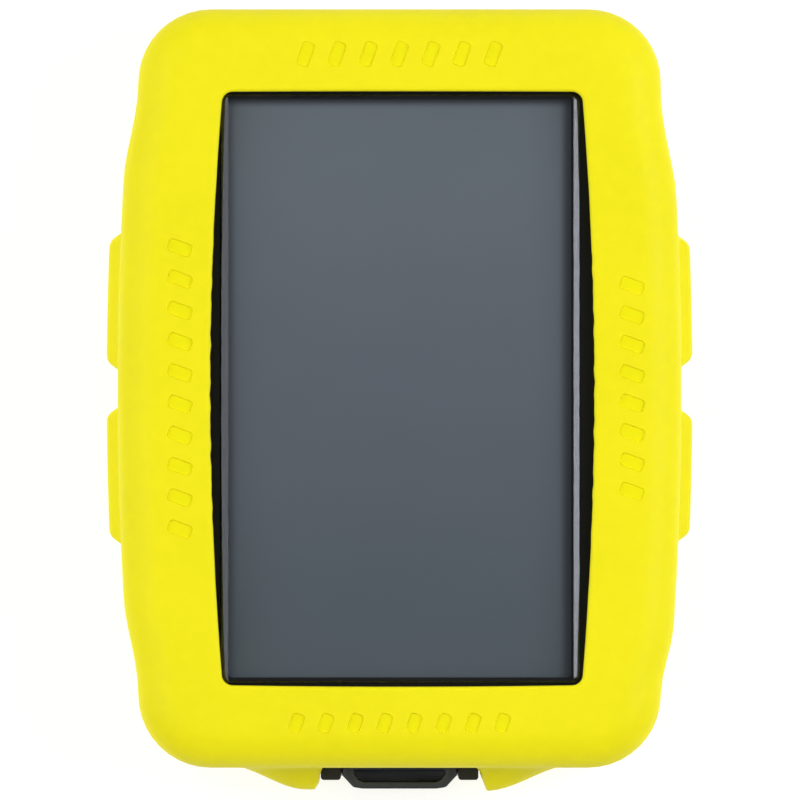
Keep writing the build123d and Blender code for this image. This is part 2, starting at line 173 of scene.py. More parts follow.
class Recipe:
    """One material in the making: its node tree, main shader and shared coordinates."""

    def __init__(self, name: str) -> None:
        """Starts a material with a plain Principled shader.

        Args:
            name: the material's name.
        """
        self.material = bpy.data.materials.new(name)
        self.material.use_nodes = True
        self.tree = self.material.node_tree
        self.shader = self.tree.nodes["Principled BSDF"]
        self.output = self.tree.nodes["Material Output"]
        self.place = self.node("ShaderNodeTexCoord", output="Object")

    def node(self, kind: str, settings: dict[str, Any] | None = None,
             values: dict[Any, Any] | None = None, output: Any = 0) -> Wire:
        """Adds a node, sets it and feeds it.

        Args:
            kind: the node's type.
            settings: attributes of the node, set before its sockets.
            values: socket name or number to a value, a colour or a Wire.
            output: which output to return.

        Returns:
            That output.
        """
        made = self.tree.nodes.new(kind)
        for key, value in (settings or {}).items():
            setattr(made, key, value)
        for key, value in (values or {}).items():
            self.feed(made.inputs[key], value)
        return Wire(self, made.outputs[output])

    def feed(self, socket: bpy.types.NodeSocket, value: Any) -> None:
        """Links a Wire to a socket, or sets the socket's own value.

        Args:
            socket: the input to feed.
            value: a Wire, a number, a vector or a colour without its alpha.
        """
        if isinstance(value, Wire):
            self.tree.links.new(value.socket, socket)
        elif socket.type == "RGBA" and len(value) == 3:
            socket.default_value = (*value, 1.0)
        else:
            socket.default_value = value

    def set(self, **sockets: Any) -> None:
        """Sets or links sockets of the main shader, with underscores for spaces in their names."""
        for key, value in sockets.items():
            self.feed(self.shader.inputs[key.replace("_", " ")], value)

    def axis(self, letter: str) -> Wire:
        """One component of the place on the piece, in metres."""
        return self.node("ShaderNodeSeparateXYZ", values={"Vector": self.place}, output=letter)

    def noise(self, size: float, detail: float = 2.0, stretch: Sequence[float] = (1, 1, 1)) -> Wire:
        """Smooth noise.

        Args:
            size: how large its features are, in metres.
            detail: how many finer layers it has.
            stretch: how many times finer it is along each axis.

        Returns:
            A value from 0 to 1.
        """
        mapped = self.node("ShaderNodeMapping", values={"Vector": self.place, "Scale": tuple(stretch)})
        return self.node("ShaderNodeTexNoise", values={"Vector": mapped, "Scale": 1 / size, "Detail": detail})

    def cells(self, size: float, distance: str = "EUCLIDEAN") -> Wire:
        """Distances in a cell pattern of about size metres."""
        values = {"Vector": self.place, "Scale": 1 / size}
        return self.node("ShaderNodeTexVoronoi", {"distance": distance}, values, output="Distance")

    def blend(self, mask: Any, low: Any, high: Any) -> Wire:
        """A mix of two colours.

        Args:
            mask: the share of the second colour, from 0 to 1.
            low: the first colour.
            high: the second colour.

        Returns:
            The mixed colour.
        """
        # A Mix node keeps its colour sockets after those for numbers and vectors.
        return self.node("ShaderNodeMix", {"data_type": "RGBA"}, {0: mask, 6: low, 7: high}, output=2)

    def relief(self, height: Wire, depth: float) -> None:
        """Bumps the surface by up to depth metres where height goes from 0 to 1."""
        values = {"Height": height, "Distance": depth, "Strength": 1.0}
        self.set(Normal=self.node("ShaderNodeBump", values=values))


# ---------------------------------------------------------------- finishes


def shade(colour: Colour, factor: float) -> Colour:
    """A colour made lighter or darker by a factor."""
    return tuple(min(1.0, max(0.0, c * factor)) for c in colour)


@dataclass(frozen=True)
class Silicone:
    """Soft matte moulded silicone with a faint bloom and dusting."""

    name: str
    colour: Colour
    roughness: float = 0.52
    grain: float = 0.16 * MM
    depth: float = 0.006 * MM

    def make(self) -> bpy.types.Material:
        """Builds the material.

        Returns:
            The material.
        """
        recipe = Recipe(self.name)
        cloud = recipe.noise(14 * MM, 3)
        mottle = recipe.noise(1.6 * MM, 2)
        base = recipe.blend(cloud.step(0.3, 0.7), shade(self.colour, 0.97), self.colour)
        base = recipe.blend(mottle.step(0.35, 0.75, 0, 0.35), base, shade(self.colour, 1.04))
        fine = recipe.noise(self.grain, 1)
        rough = mottle.step(0.2, 0.8, self.roughness - 0.05, self.roughness + 0.06)
        recipe.set(Base_Color=base, Roughness=rough)
        recipe.set(Subsurface_Weight=0.12, Subsurface_Scale=0.8 * MM, Subsurface_Radius=(1.0, 0.8, 0.15))
        recipe.set(Specular_IOR_Level=0.14)
        recipe.relief(fine, self.depth)
        return recipe.material


@dataclass(frozen=True)
class Moulding:
    """Moulded plastic or rubber with a spark-eroded grain and lightly rubbed patches."""

    name: str
    colour: Colour
    roughness: float = 0.45
    grain: float = 0.25 * MM
    depth: float = 0.012 * MM
    specular: float = 0.4

    def make(self) -> bpy.types.Material:
        """Builds the material.

        Returns:
            The material.
        """
        recipe = Recipe(self.name)
        rubbed = recipe.noise(6 * MM, 3)
        grain = recipe.noise(self.grain, 2)
        base = recipe.blend(rubbed.step(0.35, 0.7), self.colour, shade(self.colour, 1.25))
        recipe.set(Base_Color=base, Specular_IOR_Level=self.specular)
        recipe.set(Roughness=rubbed.step(0.3, 0.75, self.roughness + 0.06, self.roughness - 0.07))
        recipe.relief(grain, self.depth)
        return recipe.material


@dataclass(frozen=True)
class Metal:
    """Sheet or turned metal with fine drawn lines along one axis."""

    name: str
    colour: Colour
    roughness: float = 0.34
    lines: Sequence[float] = (1, 14, 14)

    def make(self) -> bpy.types.Material:
        """Builds the material.

        Returns:
            The material.
        """
        recipe = Recipe(self.name)
        drawn = recipe.noise(1.2 * MM, 4, self.lines)
        patch = recipe.noise(4 * MM, 2)
        recipe.set(Base_Color=recipe.blend(drawn.step(0.3, 0.7), shade(self.colour, 0.86), self.colour))
        recipe.set(Roughness=patch.step(0.3, 0.7, self.roughness - 0.06, self.roughness + 0.1), Metallic=1.0)
        recipe.relief(drawn, 0.004 * MM)
        return recipe.material


@dataclass(frozen=True)
class CircuitBoard:
    """Solder mask over etched tracks, with a scatter of plated vias."""

    name: str
    mask: Colour = (0.012, 0.085, 0.038)
    track: Colour = (0.03, 0.17, 0.075)
    via: Colour = (0.55, 0.47, 0.27)
    block: float = 2.6 * MM
    via_spacing: float = 2.1 * MM
    winding: float = 46.0

    def make(self) -> bpy.types.Material:
        """Builds the material.

        Returns:
            The material.
        """
        recipe = Recipe(self.name)
        lines = (recipe.cells(self.block, "CHEBYCHEV") * self.winding).wave().step(0.2, 0.5)
        dots = recipe.cells(self.via_spacing).step(0.10, 0.16, 1.0, 0.0)
        base = recipe.blend(lines, self.mask, self.track)
        base = recipe.blend(dots, base, self.via)
        recipe.set(Base_Color=base, Roughness=dots.step(0, 1, 0.28, 0.2), Metallic=dots)
        recipe.relief(lines + dots, 0.02 * MM)
        return recipe.material


@dataclass(frozen=True)
class Ribbon:
    """Flexible circuit film with parallel copper tracks under it."""

    name: str
    film: Colour = (0.42, 0.19, 0.03)
    copper: Colour = (0.62, 0.36, 0.11)
    pitch: float = 0.5 * MM

    def make(self) -> bpy.types.Material:
        """Builds the material.

        Returns:
            The material.
        """
        recipe = Recipe(self.name)
        along = (recipe.axis("X") + recipe.axis("Y") * 0.02) * (2 * math.pi / self.pitch)
        tracks = along.wave().step(-0.1, 0.35)
        recipe.set(Base_Color=recipe.blend(tracks, self.film, self.copper), Coat_Weight=0.3)
        recipe.set(Roughness=tracks.step(0, 1, 0.32, 0.24))
        recipe.relief(tracks, 0.015 * MM)
        return recipe.material


@dataclass(frozen=True)
class Foil:
    """Laminated pouch foil, gently crinkled."""

    name: str
    colour: Colour = (0.60, 0.61, 0.63)

    def make(self) -> bpy.types.Material:
        """Builds the material.

        Returns:
            The material.
        """
        recipe = Recipe(self.name)
        crease = recipe.noise(5 * MM, 5)
        recipe.set(Base_Color=recipe.blend(crease.step(0.3, 0.7), shade(self.colour, 0.85), self.colour))
        recipe.set(Metallic=0.9, Roughness=crease.step(0.3, 0.7, 0.3, 0.42))
        recipe.relief(crease, 0.12 * MM)
        return recipe.material


@dataclass(frozen=True)
class Foam:
    """Open speckled foam or felted membrane."""

    name: str
    colour: Colour
    pore: float = 0.5 * MM

    def make(self) -> bpy.types.Material:
        """Builds the material.

        Returns:
            The material.
        """
        recipe = Recipe(self.name)
        pores = recipe.cells(self.pore).step(0.1, 0.6)
        recipe.set(Base_Color=recipe.blend(pores, shade(self.colour, 0.55), self.colour), Roughness=0.9)
        recipe.relief(pores, 0.08 * MM)
        return recipe.material


@dataclass(frozen=True)
class CoverGlass:
    """Clear hard-coated cover: seen through from above, mirror-like on its rounded rim."""

    name: str
    tint: Colour = (0.96, 0.97, 0.98)
    sheen: Colour = (0.88, 0.91, 1.0)
    index: float = 1.5

    def make(self) -> bpy.types.Material:
        """Builds the material.

        Returns:
            The material.
        """
        recipe = Recipe(self.name)
        recipe.tree.nodes.remove(recipe.shader)
        clear = recipe.node("ShaderNodeBsdfTransparent", values={"Color": self.tint})
        gloss = recipe.node("ShaderNodeBsdfGlossy", values={"Color": self.sheen, "Roughness": 0.06})
        tilt = recipe.node("ShaderNodeLayerWeight", values={"Blend": 0.5}, output="Facing")
        straight_on = ((self.index - 1) / (self.index + 1)) ** 2
        mirror = straight_on + (1 - straight_on) * tilt.power(5)
        mixed = recipe.node("ShaderNodeMixShader", values={0: mirror, 1: clear, 2: gloss})
        recipe.feed(recipe.output.inputs["Surface"], mixed)
        return recipe.material


@dataclass(frozen=True)
class UnlitDisplay:
    """A switched-off reflective display: blue-grey, with painted light that makes it lighter at the top and
    darker at the bottom, and painted shade along its right, top and left edges.
    """

    name: str
    middle: Colour = (0.113, 0.127, 0.149)
    top: Colour = (0.137, 0.159, 0.180)
    bottom: Colour = (0.085, 0.106, 0.120)
    shadow: Colour = (0.008, 0.009, 0.013)
    half: Point = (18.65 * MM, 31.45 * MM)
    right_band: float = 1.4 * MM
    band: float = 1.0 * MM

    def make(self) -> bpy.types.Material:
        """Builds the material.

        Returns:
            The material.
        """
        recipe = Recipe(self.name)
        x, y = recipe.axis("X"), recipe.axis("Y")
        wide, tall = self.half
        # Painted light: the middle colour blends to a lighter top and a darker bottom.
        base = recipe.blend(y.step(-0.2 * tall, tall), self.middle, self.top)
        base = recipe.blend(y.step(-tall, 0.1 * tall, 1.0, 0.0), base, self.bottom)
        # Painted shade: bands along the right, top and left edges blend towards the shadow colour, where the
        # lens's rim shades the display.
        right, top = x.step(wide - self.right_band, wide) * 0.8, y.step(tall - self.band, tall) * 0.8
        left = x.step(-wide, self.band - wide, 0.3, 0.0)
        for amount in (right, top, left):
            base = recipe.blend(amount, base, self.shadow)
        film = recipe.noise(9 * MM, 3)
        recipe.set(Base_Color=base, Roughness=film.step(0.3, 0.7, 0.36, 0.44), Specular_IOR_Level=0.25)
        recipe.relief(recipe.noise(0.3 * MM, 1), 0.002 * MM)
        return recipe.material


class Slot(Enum):
    """The record's material slots that the pieces made here take their finish from."""

    SLEEVE = "sleeve_silicone"
    LENS = "lens_glass"
    DOOR = "door_rubber"


def finishes() -> dict[str, Any]:
    """The finish of every material slot, and of the floors of the sleeve's marks.

    Returns:
        Each finish under its name.
    """
    return {
        "sleeve_silicone": Silicone("sleeve_silicone", (0.885, 0.80, 0.006)),
        "housing_black": Moulding("housing_black", (0.010, 0.010, 0.009)),
        "bezel_black": Moulding("bezel_black", (0.004, 0.004, 0.003), 0.5, 0.2 * MM, 0.006 * MM, 0.12),
        "seal_rubber": Moulding("seal_rubber", (0.02, 0.02, 0.02), 0.6),
        "lens_glass": CoverGlass("lens_glass"),
        "adhesive_black": Moulding("adhesive_black", (0.004, 0.004, 0.004), 0.7, specular=0.1),
        "display_glass": UnlitDisplay("display_glass"),
        "diffuser_white": Moulding("diffuser_white", (0.75, 0.77, 0.78), 0.3, 1.2 * MM, 0.03 * MM),
        "tray_grey": Moulding("tray_grey", (0.07, 0.07, 0.075)),
        "ribbon_amber": Ribbon("ribbon_amber"),
        "connector_beige": Moulding("connector_beige", (0.62, 0.54, 0.40), 0.5),
        "board_green": CircuitBoard("board_green"),
        "chip_black": Moulding("chip_black", (0.018, 0.018, 0.020), 0.5, 0.12 * MM),
        "shield_tin": Metal("shield_tin", (0.62, 0.62, 0.60)),
        "antenna_brass": Metal("antenna_brass", (0.80, 0.54, 0.26), 0.3),
        "battery_foil": Foil("battery_foil"),
        "foam_grey": Foam("foam_grey", (0.12, 0.12, 0.13)),
        "lead_red": Moulding("lead_red", (0.45, 0.02, 0.015), 0.35),
        "door_rubber": Moulding("door_rubber", (0.026, 0.030, 0.034), 0.5, 0.22 * MM, 0.01 * MM),
        "screw_steel": Metal("screw_steel", (0.36, 0.36, 0.37), 0.38, (8, 8, 1)),
        "membrane_white": Foam("membrane_white", (0.8, 0.8, 0.8), 0.25 * MM),
        "sleeve_mark": Silicone("sleeve_mark", (0.86, 0.80, 0.0)),
    }


# ---------------------------------------------------------------- modelling


class Bench:
    """Edit-mode tools, used on one piece at a time."""

    @staticmethod
    def clear() -> None:
        """Leaves edit mode and deselects everything."""
        if bpy.context.mode != "OBJECT":
            bpy.ops.object.mode_set(mode="OBJECT")
        for obj in bpy.context.view_layer.objects:
            obj.select_set(False)

    @classmethod
    def hold(cls, obj: bpy.types.Object) -> None:
        """Makes one object the only selected and active one.

        Args:
            obj: the object.
        """
        cls.clear()
        bpy.context.view_layer.objects.active = obj
        obj.select_set(True)

    @classmethod
    @contextmanager
    def editing(cls, obj: bpy.types.Object, mode: str = "FACE") -> Iterator[None]:
        """Opens an object in edit mode with nothing selected, and closes it again.

        Args:
            obj: the object.
            mode: "FACE" or "EDGE", what is going to be selected.

        Returns:
            A context that holds the object in edit mode.
        """
        cls.hold(obj)
        bpy.ops.object.mode_set(mode="EDIT")
        bpy.ops.mesh.select_mode(type=mode)
        bpy.ops.mesh.select_all(action="DESELECT")
        yield
        bpy.ops.object.mode_set(mode="OBJECT")

    @staticmethod
    def pick(obj: bpy.types.Object, kind: str, test: Callable[[Any], bool]) -> None:
        """Selects the faces or edges that pass a test, and only those.

        Args:
            obj: the object in edit mode.
            kind: "faces" or "edges".
            test: takes the element and says whether it is wanted.
        """
        bpy.ops.mesh.select_all(action="DESELECT")
        mesh = bmesh.from_edit_mesh(obj.data)
        for element in [each for each in getattr(mesh, kind) if test(each)]:
            element.select_set(True)
        mesh.select_flush_mode()
        bmesh.update_edit_mesh(obj.data)

    @classmethod
    def modify(cls, obj: bpy.types.Object, kind: str, **settings: Any) -> None:
        """Adds a modifier, sets it and applies it.

        Args:
            obj: the object it acts on.
            kind: the modifier's type.
            settings: the modifier's attributes.
        """
        cls.hold(obj)
        modifier = obj.modifiers.new(kind.lower(), kind)
        for key, value in settings.items():
            setattr(modifier, key, value)
        bpy.ops.object.modifier_apply(modifier=modifier.name)

    @classmethod
    def combine(cls, base: bpy.types.Object, tool: bpy.types.Object, operation: str) -> None:
        """Joins a tool to a piece, or cuts the piece with it, and throws the tool away.

        Args:
            base: the piece.
            tool: the closed shape that acts on it.
            operation: "UNION" or "DIFFERENCE".
        """
        cls.modify(base, "BOOLEAN", operation=operation, object=tool, solver="EXACT")
        bpy.data.objects.remove(tool)

    @classmethod
    def settle(cls, obj: bpy.types.Object, name: str, smooth_angle: float) -> None:
        """Names a finished piece, puts its place in its mesh and smooths its shading.

        Args:
            obj: the piece.
            name: its name.
            smooth_angle: edges sharper than this many degrees stay sharp.
        """
        cls.hold(obj)
        bpy.ops.object.transform_apply(location=True, rotation=True, scale=True)
        bpy.ops.object.shade_smooth_by_angle(angle=math.radians(smooth_angle))
        obj.name = name
        obj.data.name = name
        LOG.info("made %s, %d faces", name, len(obj.data.polygons))

    @classmethod
    def box(cls, low: Vector, high: Vector) -> bpy.types.Object:
        """A primitive cube with its scale applied.

        Args:
            low: its lowest corner.
            high: its highest corner.

        Returns:
            The cube.
        """
        cls.clear()
        bpy.ops.mesh.primitive_cube_add(size=1, location=(low + high) / 2)
        obj = bpy.context.object
        obj.scale = high - low
        bpy.ops.object.transform_apply(location=True, rotation=True, scale=True)
        return obj


class Loft:
    """A skin grown from a primitive circle, one extruded ring after another."""

    def __init__(self, first: Sequence[Vector]) -> None:
        """Starts the skin.

        Args:
            first: the points of its first ring.
        """
        Bench.clear()
        bpy.ops.mesh.primitive_circle_add(vertices=len(first), radius=1.0)
        self.obj = bpy.context.object
        for vertex, point in zip(self.obj.data.vertices, first):
            vertex.co = point
        self.ring = [Vector(p) for p in first]
        bpy.ops.object.mode_set(mode="EDIT")
        bpy.ops.mesh.select_mode(type="EDGE")
        bpy.ops.mesh.select_all(action="SELECT")

    @staticmethod
    def _key(point: Vector) -> tuple[int, ...]:
        """A place rounded so that two copies of it compare equal."""
        return tuple(round(c / (1e-3 * MM)) for c in point)

    def grow(self, ring: Sequence[Vector]) -> None:
        """Extrudes the open edge to a new ring.

        Args:
            ring: its points, in the same order as the last ring's.
        """
        bpy.ops.mesh.extrude_edges_move()
        mesh = bmesh.from_edit_mesh(self.obj.data)
        order = {self._key(point): index for index, point in enumerate(self.ring)}
        for vertex in mesh.verts:
            if vertex.select:
                vertex.co = ring[order[self._key(vertex.co)]]
        bmesh.update_edit_mesh(self.obj.data)
        self.ring = [Vector(p) for p in ring]

    def close(self, capped: bool) -> bpy.types.Object:
        """Closes the skin and turns its faces outwards.

        Args:
            capped: fills the two open rings, rather than bridging the last to the first.

        Returns:
            The closed object.
        """
        Bench.pick(self.obj, "edges", lambda edge: len(edge.link_faces) == 1)
        if capped:
            bpy.ops.mesh.fill_holes(sides=0)
        else:
            bpy.ops.mesh.bridge_edge_loops()
        bpy.ops.mesh.select_all(action="SELECT")
        bpy.ops.mesh.normals_make_consistent(inside=False)
        bpy.ops.object.mode_set(mode="OBJECT")
        return self.obj

    @classmethod
    def through(cls, rings: Sequence[Sequence[Vector]], capped: bool = False) -> bpy.types.Object:
        """Grows one closed skin through every ring.

        Args:
            rings: the rings, all with the same number of points.
            capped: fills the two open rings, rather than bridging the last to the first.

        Returns:
            The closed object.
        """
        loft = cls(rings[0])
        for ring in rings[1:]:
            loft.grow(ring)
        return loft.close(capped)


def arc(centre: Sequence[float], radius: float, start: float, turn: float, steps: int,
        z: float) -> list[Vector]:
    """Points along a level arc.

    Args:
        centre: where its centre is, along X and along Y.
        radius: its radius.
        start: the angle it starts at, in radians.
        turn: how far it turns, in radians.
        steps: how many steps it takes.
        z: its height.

    Returns:
        The points.
    """
    angles = [start + turn * step / steps for step in range(steps + 1)]
    return [Vector((centre[0] + radius * math.cos(a), centre[1] + radius * math.sin(a), z)) for a in angles]


def rounding(radii: Point, *degrees: float) -> list[Point]:
    """Steps round an edge: at each angle, how far in from the side and how far from the flat."""
    angles = [math.radians(each) for each in degrees]
    return [(radii[0] * (1 - math.cos(a)), radii[1] * (1 - math.sin(a))) for a in angles]


def smooth(value: float, low: float, high: float) -> float:
    """0 below low, 1 above high, and a smooth rise between."""
    t = min(1.0, max(0.0, (value - low) / (high - low)))
    return t * t * (3 - 2 * t)


class Stretch(Enum):
    """The stretches of an outline."""

    TOP = "top"
    RIGHT = "right"
    BOTTOM = "bottom"
    LEFT = "left"
    CORNER = "corner"


@dataclass(frozen=True)
class Station:
    """One column of the sleeve's skin: the stretch of the outline it is on, and how far along.

    A place along a straight stretch runs from -1 to 1, and one along a corner is an angle in degrees.
    """

    stretch: Stretch
    along: float

    @property
    def sign(self) -> int:
        """1 on the top and right stretches, -1 on the others."""
        return 1 if self.stretch in (Stretch.TOP, Stretch.RIGHT) else -1

    @property
    def bow(self) -> float:
        """How much of a stretch's bow there is here: 1 in its middle, 0 at its ends."""
        return 1 - self.along**2

    def corner(self, straight: Point, radius: float) -> Vector:
        """The place on a rounded corner.

        Args:
            straight: half lengths of the straight stretches, along X and along Y.
            radius: the corner's radius.

        Returns:
            The place, at height 0.
        """
        angle = math.radians(self.along)
        x, y = math.cos(angle), math.sin(angle)
        centre = Vector((math.copysign(straight[0], x), math.copysign(straight[1], y), 0))
        return centre + radius * Vector((x, y, 0))


Ring = Callable[[Station], Vector]


@dataclass
class CaseOutline:
    """The unit's front outline: barrelled sides that settle into rounded corners."""

    half_width: float = 30.7 * MM
    end_half_width: float = 28.45 * MM
    half_height: float = 41.3 * MM
    corner_radius: float = 7.4 * MM
    barrel_sag: float = 0.6 * MM
    barrel_reach: float = 22.0 * MM
    left_shoulder: Point = (23.0 * MM, 33.9 * MM)
    right_upper_shoulder: Point = (21.0 * MM, 33.0 * MM)
    right_lower_shoulder: Point = (26.0 * MM, 33.9 * MM)

    @property
    def straight(self) -> Point:
        """Half lengths of the straight stretches, along X and along Y."""
        return self.end_half_width - self.corner_radius, self.half_height - self.corner_radius

    def sag(self, side: int, y: float) -> float:
        """How far a barrelled side falls in from its middle.

        Args:
            side: 1 for the right side, -1 for the left.
            y: the place along the unit.

        Returns:
            The distance inwards.
        """
        right = self.right_upper_shoulder if y > 0 else self.right_lower_shoulder
        barrel = self.barrel_sag * (y / self.barrel_reach) ** 2
        end = self.half_width - self.end_half_width
        share = smooth(abs(y), *(right if side > 0 else self.left_shoulder))
        return barrel * (1 - share) + end * share

    def at(self, station: Station, inset: float) -> Vector:
        """The outline's place at a station.

        Args:
            station: the column of the skin.
            inset: how far inside the outline.

        Returns:
            The place, at height 0.
        """
        sign, (straight_x, straight_y) = station.sign, self.straight
        if station.stretch is Stretch.CORNER:
            return station.corner(self.straight, self.corner_radius - inset)
        if station.stretch in (Stretch.TOP, Stretch.BOTTOM):
            return Vector((station.along * straight_x, sign * (self.half_height - inset), 0))
        y = station.along * straight_y
        return Vector((sign * (self.half_width - self.sag(sign, y) - inset), y, 0))


@dataclass
class WindowOutline:
    """The sleeve's screen window, whose sides bow outwards and whose long sides ripple a little."""

    end_half: float = 19.65 * MM
    middle_half: float = 20.9 * MM
    half_height: float = 32.3 * MM
    corner: float = 1.2 * MM
    shift: float = 0.3 * MM
    top_bow: float = 0.045 * MM
    bottom_bow: float = 0.15 * MM
    ripple: float = 0.07 * MM
    ripple_lengths: Point = (1.9 * MM, 0.43 * MM)

    def at(self, station: Station, grow: float) -> Vector:
        """The window's place at a station.

        Args:
            station: the column of the skin.
            grow: how far outside the window's edge.

        Returns:
            The place, at height 0.
        """
        straight_x, straight_y = self.end_half - self.corner, self.half_height - self.corner
        sign, bow = station.sign, station.bow
        if station.stretch is Stretch.CORNER:
            return station.corner((straight_x, straight_y), self.corner + grow) + Vector((self.shift, 0, 0))
        if station.stretch in (Stretch.TOP, Stretch.BOTTOM):
            bow *= self.top_bow if sign > 0 else self.bottom_bow
            return Vector((station.along * straight_x + self.shift, sign * (self.half_height + grow + bow), 0))
        y = station.along * straight_y
        slow, fast = self.ripple_lengths
        ripple = self.ripple * math.sin(y / slow + sign) * math.sin(y / fast) * bow**2
        out = self.end_half + (self.middle_half - self.end_half) * bow + grow + ripple
        return Vector((sign * out + self.shift, y, 0))


@dataclass
class MarkRow:
    """A row of slanted dashes sunk into the sleeve, across it or, when turned, along it."""

    centre: Point
    turned: bool
    count: int
    pitch: float
    length: float

    def places(self) -> list[Vector]:
        """The middle of each dash.

        Returns:
            Their places, at height 0.
        """
        steps = [(index - (self.count - 1) / 2) * self.pitch for index in range(self.count)]
        x, y = self.centre
        return [Vector((x, y + step, 0)) if self.turned else Vector((x + step, y, 0)) for step in steps]


@dataclass
class Sleeve:
    """The silicone sleeve: one closed skin with window, mount hole, port cut-out, feet and marks.

    Pairs that tell left from right start with the left. Columns and heights are in mm: they hold the skin's
    own lines and the edges that the port, the feet and the pockets need.
    """

    case: CaseOutline = field(default_factory=lambda: CaseOutline(corner_radius=7.9 * MM))
    cavity: CaseOutline = field(default_factory=CaseOutline)
    window: WindowOutline = field(default_factory=WindowOutline)
    wall: float = 1.45 * MM
    front_round: Point = (4.2 * MM, 3.6 * MM)
    back_round: Point = (4.6 * MM, 4.6 * MM)
    inner_back_round: Point = (3.5 * MM, 3.5 * MM)
    inner_front_round: Point = (2.2 * MM, 2.2 * MM)
    lip_round: Point = (0.35 * MM, 0.35 * MM)
    lip_band: float = 0.75 * MM
    front_flat: float = 0.25 * MM
    back_flat: float = 0.3 * MM
    mount_hole: float = 15.5 * MM
    mount_round: Point = (0.3 * MM, 0.3 * MM)
    edge_ease: float = 0.18 * MM
    end_columns: tuple[float, ...] = (0, 2.2, 4.4, 6.3, 7.8, 8.35, 8.75, 9.0, 9.25, 9.5, 9.9, 10.6, 11.5, 12.5,
                                      13.6, 14.7, 15.8, 17.0, 18.4, 19.8)
    outer_heights: tuple[float, ...] = (20.3, 19.2, 18.05, 17.3, 16.8, 16.3, 15.75, 15.1, 14.4, 12.9, 10.75,
                                        9.0, 7.0)
    inner_heights: tuple[float, ...] = (7.35, 9.0, 10.75, 12.9, 14.4, 15.1, 15.75, 18.05, 20.3)
    gap_columns: float = 0.75 * MM
    pocket_columns: int = 21
    shoulder_columns: int = 9
    corner_columns: int = 10
    port_half: float = 8.75 * MM
    port_heights: Point = (4.5 * MM, 15.75 * MM)
    foot_overlap: float = 0.1 * MM
    foot_root: float = 17.3 * MM
    foot_fulls: Point = (10.2 * MM, 9.5 * MM)
    foot_tips: Point = (9.2 * MM, 9.5 * MM)
    foot_inner_falls: Point = (0.35, 0.75)
    foot_heights: Point = (2.45 * MM, 2.6 * MM)
    foot_rise: Point = (3.2 * MM, 6.6 * MM)
    foot_end: Point = (14.6 * MM, 17.6 * MM)
    pocket_depth: float = 1.0 * MM
    pocket_x: Point = (28 * MM, 29.6 * MM)
    pocket_y: Point = (2.25 * MM, 16.75 * MM)
    pocket_z: Point = (10.75 * MM, 18.05 * MM)
    mark_depth: float = 0.2 * MM
    mark_half_width: float = 0.65 * MM
    mark_corner: float = 0.4 * MM
    mark_lean: float = -20.0
    mark_flare: Point = (1.3, 1.12)
    marks: tuple[MarkRow, ...] = (
        MarkRow((0, 36.4 * MM), False, 7, 3.4 * MM, 2.6 * MM),
        MarkRow((0, -36.4 * MM), False, 8, 3.2 * MM, 2.0 * MM),
        MarkRow((-23.9 * MM, 0), True, 10, 3.4 * MM, 2.6 * MM),
        MarkRow((25.3 * MM, 0), True, 8, 3.2 * MM, 2.6 * MM),
    )

    def __post_init__(self) -> None:
        """Reads the sleeve's back and front heights from the frame."""
        low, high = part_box("silicone_sleeve")
        self.back, self.front = low.z, high.z
        self.mark_faces: list[int] = []

    def stations(self) -> list[Station]:
        """The skin's columns.

        Returns:
            The columns, clockwise from the top-left corner as seen from the front.
        """
        straight_x, straight_y = self.case.straight
        low, high = self.pocket_y
        pocket, shoulder, turn = self.pocket_columns, self.shoulder_columns, self.corner_columns
        along = [0, self.gap_columns, 2 * self.gap_columns, low]
        along += [low + (high - low) * k / pocket for k in range(1, pocket + 1)]
        along += [high + (straight_y - high) * k / shoulder for k in range(1, shoulder)]
        xs = sorted({sign * x * MM / straight_x for x in self.end_columns for sign in (-1, 1)} | {-1.0, 1.0})
        ys = sorted({sign * y / straight_y for y in along for sign in (-1, 1)} | {-1.0, 1.0})
        sides = ((Stretch.TOP, xs, 90), (Stretch.RIGHT, ys[::-1], 0), (Stretch.BOTTOM, xs[::-1], -90),
                 (Stretch.LEFT, ys, 180))
        made = []
        for stretch, places, degrees in sides:
            made += [Station(stretch, place) for place in places]
            made += [Station(Stretch.CORNER, degrees - 90 * k / turn) for k in range(1, turn)]
        return made

    def foot(self, x: float, z: float) -> float:
        """How far the feet beside the port stand out from the bottom end.

        Args:
            x: the place across the unit.
            z: the height.

        Returns:
            The distance outwards.
        """
        side, right = abs(x), int(x > 0)
        if side < self.port_half - self.foot_overlap:
            return 0.0
        tip = self.foot_tips[right]
        share = min(1.0, max(0.0, (self.foot_root - side) / (self.foot_root - self.foot_fulls[right])))
        swell = (smooth(share, 0, 1) + math.sin(share * math.pi / 2)) / 2
        inner = 1 - self.foot_inner_falls[right] * max(0.0, tip - side) / (tip - self.port_half)
        ends = smooth(z, *self.foot_rise) * (1 - smooth(z, *self.foot_end))
        return self.foot_heights[right] * swell * inner * ends

    def outer(self, inset: float, z: float) -> Ring:
        """A ring on the outer skin, feet and all.

        Args:
            inset: how far inside the outline.
            z: the height.

        Returns:
            The ring, which gives a station's place.
        """
        def place(station: Station) -> Vector:
            """The ring's place at a station."""
            point = self.case.at(station, inset)
            if station.stretch is Stretch.BOTTOM:
                point.y -= self.foot(point.x, z)
            return point + Vector((0, 0, z))
        return place

    def inner(self, inset: float, z: float) -> Ring:
        """A ring on the inner skin, which is a wall's thickness and inset inside the outline."""
        return lambda station: self.cavity.at(station, self.wall + inset) + Vector((0, 0, z))

    def rim(self, grow: float, z: float) -> Ring:
        """A ring on the window's lip."""
        return lambda station: self.window.at(station, grow) + Vector((0, 0, z))

    def hole(self, radius: float, z: float) -> Ring:
        """A ring round the mount hole.

        Args:
            radius: the ring's radius.
            z: the height.

        Returns:
            The ring, which gives a station's place.
        """
        def place(station: Station) -> Vector:
            """The ring's place at a station."""
            seen = self.case.at(station, 0)
            angle = math.atan2(seen.y / self.case.half_height, seen.x / self.case.half_width)
            return Vector((radius * math.cos(angle), radius * math.sin(angle), z))
        return place

